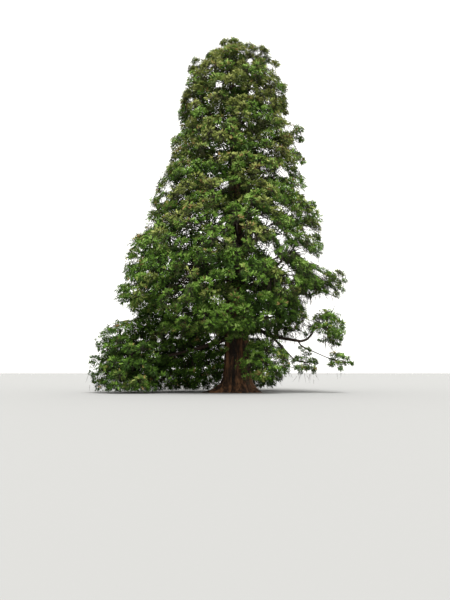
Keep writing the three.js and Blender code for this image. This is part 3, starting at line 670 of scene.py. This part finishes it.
def spray_arrays(sprays, rng):
    """Points and triangles of the sprays, each with the number of the spray that it is of."""
    side = unit(np.cross(sprays["normal"], sprays["ahead"]))
    ways = (sprays["ahead"], side, np.cross(sprays["ahead"], side))
    form_of = rng.integers(0, len(SPRAY_FORMS), len(side))
    parts, owner = [], []
    for number, (shape, faces) in enumerate(SPRAY_FORMS):
        own = np.flatnonzero(form_of == number)
        scaled = shape[None] * sprays["length"][own, None, None]
        placed = sprays["root"][own, None, :]
        for k, way in enumerate(ways):
            placed = placed + scaled[..., k:k + 1] * way[own, None, :]
        parts.append(copies(placed, faces))
        owner.append(np.repeat(own, len(faces)))
    return *joined(parts), np.concatenate(owner)


# Twigs, as joined arrays

def rod_arrays(starts, ends, thick, thin, sag):
    """Closed tapering twigs: a ring at the start, one along the way and a point at the end."""
    low, high = BOX_LOW + TWIG_INSET, BOX_HIGH - TWIG_INSET
    starts, ends = np.clip(starts, low, high), np.clip(ends, low, high)
    thick, thin, sag = (np.broadcast_to(each, len(starts))[:, None] for each in (thick, thin, sag))
    middle = np.maximum((starts + ends) / 2 - sag * UP, low)
    side, up = (way[:, None] for way in across_of(unit(ends - starts)))
    count = TWIG_SIDES
    around = (np.arange(count) * 2 * math.pi / count)[:, None]
    ring = np.cos(around) * side + np.sin(around) * up
    points = np.concatenate([
        starts[:, None] + ring * thick[..., None],
        middle[:, None] + ring * ((thick + thin) / 2)[..., None],
        ends[:, None],
    ], 1)
    faces = []
    for k in range(count):
        after = (k + 1) % count
        faces += [(k, after, count + after), (k, count + after, count + k),
                  (count + k, count + after, 2 * count)]
    faces += [(0, k + 1, k) for k in range(1, count - 1)]
    return copies(points, np.array(faces))


def joined(parts):
    points, triangles, start = [], [], 0
    for part_points, part_triangles in parts:
        points.append(part_points)
        triangles.append(part_triangles + start)
        start += len(part_points)
    return np.concatenate(points), np.concatenate(triangles)


def linked(name, data):
    """An object in the scene with this mesh, lamp or lens."""
    item = bpy.data.objects.new(name, data)
    bpy.context.scene.collection.objects.link(item)
    return item


def piece_from_arrays(name, points, triangles, finishes, shades=None, smooth=False):
    mesh = bpy.data.meshes.new(name)
    mesh.vertices.add(len(points))
    mesh.vertices.foreach_set("co", points.astype(np.float32).ravel())
    mesh.loops.add(triangles.size)
    mesh.loops.foreach_set("vertex_index", triangles.astype(np.int32).ravel())
    mesh.polygons.add(len(triangles))
    mesh.polygons.foreach_set("loop_start", np.arange(0, triangles.size, 3, dtype=np.int32))
    for finish in finishes:
        mesh.materials.append(finish)
    if shades is not None:
        mesh.polygons.foreach_set("material_index", shades.astype(np.int32))
    mesh.update(calc_edges=True)
    mesh.polygons.foreach_set("use_smooth", np.full(len(triangles), smooth))
    return linked(name, mesh)


# Finishes

class Value:
    """One output of a finish's nodes; adding to it or multiplying it adds a Math node."""

    def __init__(self, finish, socket):
        self.finish, self.socket = finish, socket

    def __add__(self, other):
        return self.finish.add("ShaderNodeMath", {"operation": "ADD"}, {0: self, 1: other})

    def __mul__(self, other):
        return self.finish.add("ShaderNodeMath", {"operation": "MULTIPLY"}, {0: self, 1: other})

    __radd__, __rmul__ = __add__, __mul__


class Finish:
    """A material, with one method that adds a node to it."""

    def __init__(self, name, **uniform):
        self.material = bpy.data.materials.new(name)
        self.material.use_nodes = True
        self.tree = self.material.node_tree
        self.shader = next(n for n in self.tree.nodes if n.type == "BSDF_PRINCIPLED")
        self.feeds(**uniform)

    def add(self, kind, settings=(), sockets=(), output=0):
        node = self.tree.nodes.new(kind)
        for key, value in dict(settings).items():
            if key == "stops":
                stops = node.color_ramp.elements
                while len(stops) < len(value):
                    stops.new(0.5)
                for stop, (position, colour) in zip(stops, value):
                    stop.position, stop.color = position, colour
            else:
                setattr(node, key, value)
        for key, value in dict(sockets).items():
            self.feed(node.inputs[key], value)
        return Value(self, node.outputs[output])

    def feed(self, socket, value):
        if isinstance(value, Value):
            self.tree.links.new(value.socket, socket)
        else:
            socket.default_value = value

    def feeds(self, **varying):
        for socket, value in varying.items():
            self.feed(self.shader.inputs[socket.replace("_", " ")], value)
        return self.material


def paint(*levels):
    """A colour as a screen shows it, 0 to 255, to the light it stands for."""
    light = [c / 12.92 if c <= 0.04045 else ((c + 0.055) / 1.055) ** 2.4
             for c in (level / 255 for level in levels)]
    return (*light, 1.0)


def bark_finish(name, crevice, fibre, ridge, across, along):
    """Fibrous bark: long streaks up the limb, dark in the furrows, partly the bark's own tone and partly
    painted shade, and paler on the ridges.
    """
    bark = Finish(name, Specular_IOR_Level=0.25)
    place = bark.add("ShaderNodeTexCoord", output=3)
    stretched = bark.add("ShaderNodeMapping", sockets={"Vector": place, "Scale": (across, across, along)})
    streaks = bark.add("ShaderNodeTexNoise", sockets={
        "Vector": stretched, "Scale": 2.2, "Detail": 8, "Roughness": 0.68, "Distortion": 0.6})
    patches = bark.add("ShaderNodeTexNoise", sockets={"Vector": place, "Scale": 0.9, "Detail": 3})
    fibres = bark.add("ShaderNodeTexNoise", sockets={
        "Vector": stretched, "Scale": 11, "Detail": 6, "Roughness": 0.7})
    depth = streaks * 0.62 + fibres * 0.28 + patches * 0.14
    # The darkest stop falls in the furrows of the relief: partly the bark's own tone, partly painted
    # shade
    colour = bark.add("ShaderNodeValToRGB", {"stops": [
        (0.4, paint(*crevice)), (0.5, paint(*fibre)), (0.63, paint(*ridge))]}, {"Fac": depth})
    relief = bark.add("ShaderNodeBump", sockets={
        "Strength": 0.9, "Distance": 0.03, "Height": streaks + fibres * 0.5})
    return bark.feeds(Base_Color=colour, Roughness=0.72 + fibres * 0.3, Normal=relief)


def needle_finish(name, colour):
    """Needles of one plain colour, a little waxy, with a fine grain."""
    needles = Finish(name, Base_Color=colour, Specular_IOR_Level=0.12)
    place = needles.add("ShaderNodeTexCoord", output=3)
    grain = needles.add("ShaderNodeTexNoise", sockets={"Vector": place, "Scale": 60, "Detail": 2})
    relief = needles.add("ShaderNodeBump", sockets={"Strength": 0.35, "Distance": 0.01, "Height": grain})
    return needles.feeds(Roughness=0.6 + grain * 0.3, Normal=relief)


# Painted shade: the trunk's colours are darker than the bark's own red-brown, for the shade that the
# crown casts on it
trunk_bark = bark_finish("trunk_bark", (8, 5, 3), (34, 22, 12), (114, 80, 52), 1, 0.1)
limb_bark = bark_finish("limb_bark", (20, 16, 12), (42, 33, 25), (70, 58, 46), 3, 0.8)
twig_bark = bark_finish("twig_bark", (24, 20, 16), (42, 35, 28), (62, 52, 40), 5, 5)

needle_finishes = [needle_finish(f"needles_{name}_{k + 1}", paint(*colour))
                   for name, colours in (("green", GREENS), ("olive", OLIVES), ("rust", RUSTS))
                   for k, colour in enumerate(colours)]


def deal_shades():
    """Which needle colour each spray has: painted light and shade by its place in the plume, its height
    and whether it is on the skirt, and the plume's own random cast.
    """
    rng = np.random.default_rng(DRAWS.shades)
    count, of_plume = len(sprays["length"]), sprays["plume"]
    cast = rng.normal(0, SHADE.plume, len(plumes))[of_plume]
    # Painted shade: the skirt masses are dealt deeper colours, all other masses paler ones
    shaded = np.array(["skirt" in m["node"] for m in masses])[sprays["mass"]]
    height = sprays["root"][:, 2]
    light = (sprays["light"] * SHADE.light + cast + rng.normal(0, SHADE.spray, count)
             + np.where(shaded, SHADE.skirt, SHADE.crown))
    # Painted light: paler higher up the tree, deeper towards the foot
    light += SHADE.rise * (height - SHADE.level)
    shade = np.clip((light * len(GREENS)).astype(int), 0, len(GREENS) - 1)
    by_plume = OLIVE.plume * rng.random(len(plumes))[of_plume]
    olive_share = OLIVE.low + OLIVE.rise * (height - OLIVE.start) / OLIVE.over
    olive = by_plume + OLIVE.spray * rng.random(count) < np.clip(olive_share, *OLIVE.share)
    shade = shade + olive * len(GREENS)
    rust_share = RUST.plumes + RUST.more * (height > RUST.above)
    rusty = rng.random(len(plumes))[of_plume] < rust_share
    rust = rng.random(count) < np.where(rusty, *RUST.sprays)
    first = len(GREENS) + len(OLIVES)
    return np.where(rust & (sprays["light"] > RUST.lit),
                    first + rng.integers(0, len(RUSTS), count), shade)


# Trunk and limbs

def place_piece(shape, name, finish, smooth=True):
    bmesh.ops.recalc_face_normals(shape, faces=shape.faces)
    for face in shape.faces:
        face.smooth = smooth
    mesh = bpy.data.meshes.new(name)
    shape.to_mesh(mesh)
    shape.free()
    mesh.materials.append(finish)
    return linked(name, mesh)


def furrow_relief(angle, z):
    """How far the bark stands out here: broad ridges that wander and fork, and finer fibres."""
    round_trunk = Vector(toward(angle))
    wander, fork, fine = (noise.noise(round_trunk * across + Vector((*start, z * along)))
                          for across, along, start in FURROW_NOISE)
    wave = math.sin(FURROWS.count * angle + FURROWS.wander * wander + FURROWS.fork * fork)
    ridge = abs(wave) ** FURROWS.round - FURROWS.middle
    return FURROWS.depth * ridge + FURROWS.fine * fine


def build_trunk():
    """The trunk spun from its profile, then shaped by its lobes, ridges and furrows."""
    shape = bmesh.new()
    heights = [TRUNK_TOP * (k / TRUNK_RINGS) ** RING_POWER for k in range(TRUNK_RINGS + 1)]
    line = [shape.verts.new((float(trunk_radius(z)), 0, z)) for z in heights]
    edges = [shape.edges.new(pair) for pair in zip(line, line[1:])]
    bmesh.ops.spin(shape, geom=line + edges, axis=(0, 0, 1), cent=(0, 0, 0), steps=TRUNK_SIDES,
                   angle=2 * math.pi, use_merge=True)
    bmesh.ops.holes_fill(shape, edges=[e for e in shape.edges if e.is_boundary])
    for vert in shape.verts:
        z = vert.co.z
        angle = math.atan2(vert.co.y, vert.co.x)
        lobe = (LOBES.depth * math.exp(-z / LOBES.height)
                * math.cos(LOBES.count * angle + math.radians(LOBES.turn)))
        radius = float(trunk_radius(z))
        relief = furrow_relief(angle, z) * min(1, radius / FURROWS.full)
        radius = radius * (1 + lobe) + relief
        for at, out, wide, height in RIDGES:
            off = (angle - math.radians(at) + 3 * math.pi) % (2 * math.pi) - math.pi
            radius += out * math.exp(-((off / math.radians(wide)) ** 2) - z / height)
        vert.co = axis_at(z) + radius * toward(angle)
    return place_piece(shape, "bark_trunk", trunk_bark)


def resampled(path, step):
    """A smooth curve through the path's points, with points about a step apart."""
    path = np.asarray(path, float)
    padded = np.vstack([2 * path[0] - path[1], path, 2 * path[-1] - path[-2]])
    found = []
    for k in range(len(path) - 1):
        a, b, c, d = padded[k:k + 4]
        count = max(int(norm(c - b) / step), 1)
        t = (np.arange(count) / count)[:, None]
        found.append(0.5 * (2 * b + (c - a) * t + (2 * a - 5 * b + 4 * c - d) * t ** 2
                            + (3 * b - a - 3 * c + d) * t ** 3))
    return np.vstack(found + [path[-1:]])


def add_limb(shape, path, radii):
    """A limb with knotty bark: rings along its path, bridged and closed at both ends."""
    line = resampled(path, LIMB_STEP)
    rings, across = [], None
    for k, point in enumerate(line):
        centre = Vector(point)
        ahead = Vector(line[min(k + 1, len(line) - 1)] - line[max(k - 1, 0)]).normalized()
        across = across or (Vector((0, 0, 1)) if abs(ahead.z) < 0.9 else Vector((1, 0, 0)))
        across = (across - ahead * across.dot(ahead)).normalized()
        turn = Matrix((across, ahead.cross(across), ahead)).transposed().to_4x4()
        radius = radii[0] + (radii[1] - radii[0]) * k / (len(line) - 1)
        radius *= 1 + KNOTS.swell * noise.noise(centre * KNOTS.along)
        ring = bmesh.ops.create_circle(shape, segments=LIMB_SIDES, radius=radius,
                                       matrix=Matrix.Translation(centre) @ turn)["verts"]
        for vert in ring:
            out = vert.co - centre
            bump = noise.noise(out.normalized() * KNOTS.round + centre * KNOTS.drift)
            vert.co += out * (KNOTS.bump * bump)
        rings.append(ring)
    for low, high in zip(rings, rings[1:]):
        edges = {e for ring in (low, high) for v in ring for e in v.link_edges
                 if e.other_vert(v) in ring}
        bmesh.ops.bridge_loops(shape, edges=list(edges))
    for ring in (rings[0], rings[-1]):
        bmesh.ops.contextual_create(shape, geom=ring)


def build_limbs(name, limbs):
    shape = bmesh.new()
    for path, radii in limbs:
        add_limb(shape, path, radii)
    return place_piece(shape, name, limb_bark)


# The tree

trunk = build_trunk()
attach(trunk, "root")
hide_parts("trunk")

bough_piece = build_limbs("bark_boughs", [(b["path"], b["radius"]) for b in boughs])
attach(bough_piece, "root")
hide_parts(*[b["node"] for b in boughs])

stems = [stem_path(index, mass) for index, mass in enumerate(masses)]
stem_piece = build_limbs("bark_stems", [
    (path, (mass["bough"]["radius"][1] if "bough" in mass else STEM_RADIUS[0], STEM_RADIUS[1]))
    for path, mass in zip(stems, masses)])
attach(stem_piece, "root")
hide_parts(*[m["node"] for m in masses])

plumes = grow_plumes()
sprays, knob_twigs = grow_sprays()
shades = deal_shades()


def side_limbs():
    """From each mass's stem to its plumes; loose foliage hangs on whichever limb is nearest."""
    bearers = np.vstack([resampled(path, SIDE_LIMB.bearer_step)
                         for path in stems + [b["path"] for b in boughs]])
    starts = []
    for _, index, middle, _, loose, _ in plumes:
        foot, heart = stems[index][0], stems[index][-1]
        length = norm(heart - foot)
        ahead = (heart - foot) / length
        along = (middle - foot) @ ahead
        off = norm(middle - foot - along * ahead)
        at = np.clip(along - SIDE_LIMB.back * off, SIDE_LIMB.first * length, length)
        if loose:
            start = bearers[np.argmin(norm(bearers - middle, axis=1))]
        elif "bough" not in masses[index] or at > SIDE_LIMB.by_heart * length:
            start = foot + at * ahead
        else:
            start = heart - SIDE_LIMB.inside * ahead
        starts.append(start)
    return np.array(starts), np.array([plume[2] for plume in plumes])


def inner_twigs():
    """Twigs from the limbs to the plumes and inside the plumes."""
    starts, ends = side_limbs()
    length = norm(ends - starts, axis=1)
    thick = LIMB_TWIG.thick + LIMB_TWIG.more * length
    to_plumes = rod_arrays(starts, ends, thick, LIMB_TWIG.thin, LIMB_TWIG.sag * length)
    return joined([to_plumes] + [rod_arrays(*twigs, *KNOB_TWIG) for twigs in knob_twigs])


def hanging_twigs():
    """Fine twigs that hang below the plumes, apart from those inside the crown."""
    rng = np.random.default_rng(DRAWS.twigs)
    middles, outward = (np.array([p[k] for p in plumes if p[0] != "inner"]) for k in (2, 3))
    by_gap = gap_clearance(middles, SKY_GAPS + CHINKS) < HANGING.near_gap
    count = np.where(by_gap, *HANGING.count)
    starts, outward, by_gap = (np.repeat(each, count, 0) for each in (middles, outward, by_gap))
    starts += HANGING.scatter * rng.normal(size=starts.shape)
    way = unit(HANGING.outward * outward - HANGING.down * UP
               + HANGING.loose * rng.normal(size=starts.shape))
    length = rng.uniform(*HANGING.length, len(starts)) * np.where(by_gap, HANGING.longer, 1)
    ends = starts + way * length[:, None]
    ends[:, 2] = np.maximum(ends[:, 2], TWIG_FLOOR)
    return rod_arrays(starts, ends, HANGING.thin * 2, HANGING.thin, 0)


for twig_name, grown in (("twigs", inner_twigs()), ("hanging_twigs", hanging_twigs())):
    twig_piece = piece_from_arrays(twig_name, *grown, [twig_bark], smooth=True)
    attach(twig_piece, "root")
    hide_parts(*[m["node"] for m in masses])


def needle_pieces():
    """The sprays of whole masses joined into pieces, each below the limit of triangles."""
    faces_each = len(SPRAY_FORMS[0][1])
    counts = np.bincount(sprays["mass"], minlength=len(masses)) * faces_each
    groups = []
    for high in (True, False):
        room = 0
        for index in [i for i, m in enumerate(masses) if m["high"] == high]:
            if counts[index] > room:
                groups.append((high, []))
                room = PIECE_TRIANGLES
            groups[-1][1].append(index)
            room -= counts[index]
    rng = np.random.default_rng(DRAWS.forms)
    for number, (high, members) in enumerate(groups, 1):
        own = np.flatnonzero(np.isin(sprays["mass"], members))
        points, triangles, owner = spray_arrays({key: each[own] for key, each in sprays.items()}, rng)
        piece = piece_from_arrays(f"needles_{number}", points, triangles, needle_finishes,
                                  shades[own][owner])
        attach(piece, "root")
        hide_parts(*[masses[i]["node"] for i in members])


needle_pieces()
print(f"plumes {len(plumes)}, sprays {len(shades)}")


# Floor, light and camera

def build_floor():
    pale = Finish("pale_floor", Base_Color=(0.24, 0.24, 0.235, 1.0), Roughness=0.95,
                  Specular_IOR_Level=0.1)
    shape = bmesh.new()
    bmesh.ops.create_circle(shape, cap_ends=True, segments=96, radius=900)
    floor = place_piece(shape, "floor", pale.material, smooth=False)


def build_light():
    world = bpy.data.worlds.new("soft_sky")
    world.use_nodes = True
    background = next(n for n in world.node_tree.nodes if n.type == "BACKGROUND")
    background.inputs["Color"].default_value = (1.0, 0.99, 0.96, 1.0)
    background.inputs["Strength"].default_value = 1.5
    bpy.context.scene.world = world
    lamp = bpy.data.lights.new("overhead", "SUN")
    lamp.energy, lamp.angle = 5.9, math.radians(30)
    linked("overhead", lamp).rotation_euler = (math.radians(28), math.radians(8), 0)


def build_camera():
    lens = bpy.data.cameras.new("camera")
    lens.sensor_width = SENSOR
    lens.lens = FOCAL_PIXELS / IMAGE_HEIGHT * SENSOR
    lens.clip_end = 3000
    camera = linked("camera", lens)
    camera.location = EYE
    camera.rotation_euler = (math.radians(90 + PITCH), 0, math.radians(YAW))
    bpy.context.scene.camera = camera


build_floor()
build_light()
build_camera()
bpy.context.scene.view_settings.view_transform = "Standard"
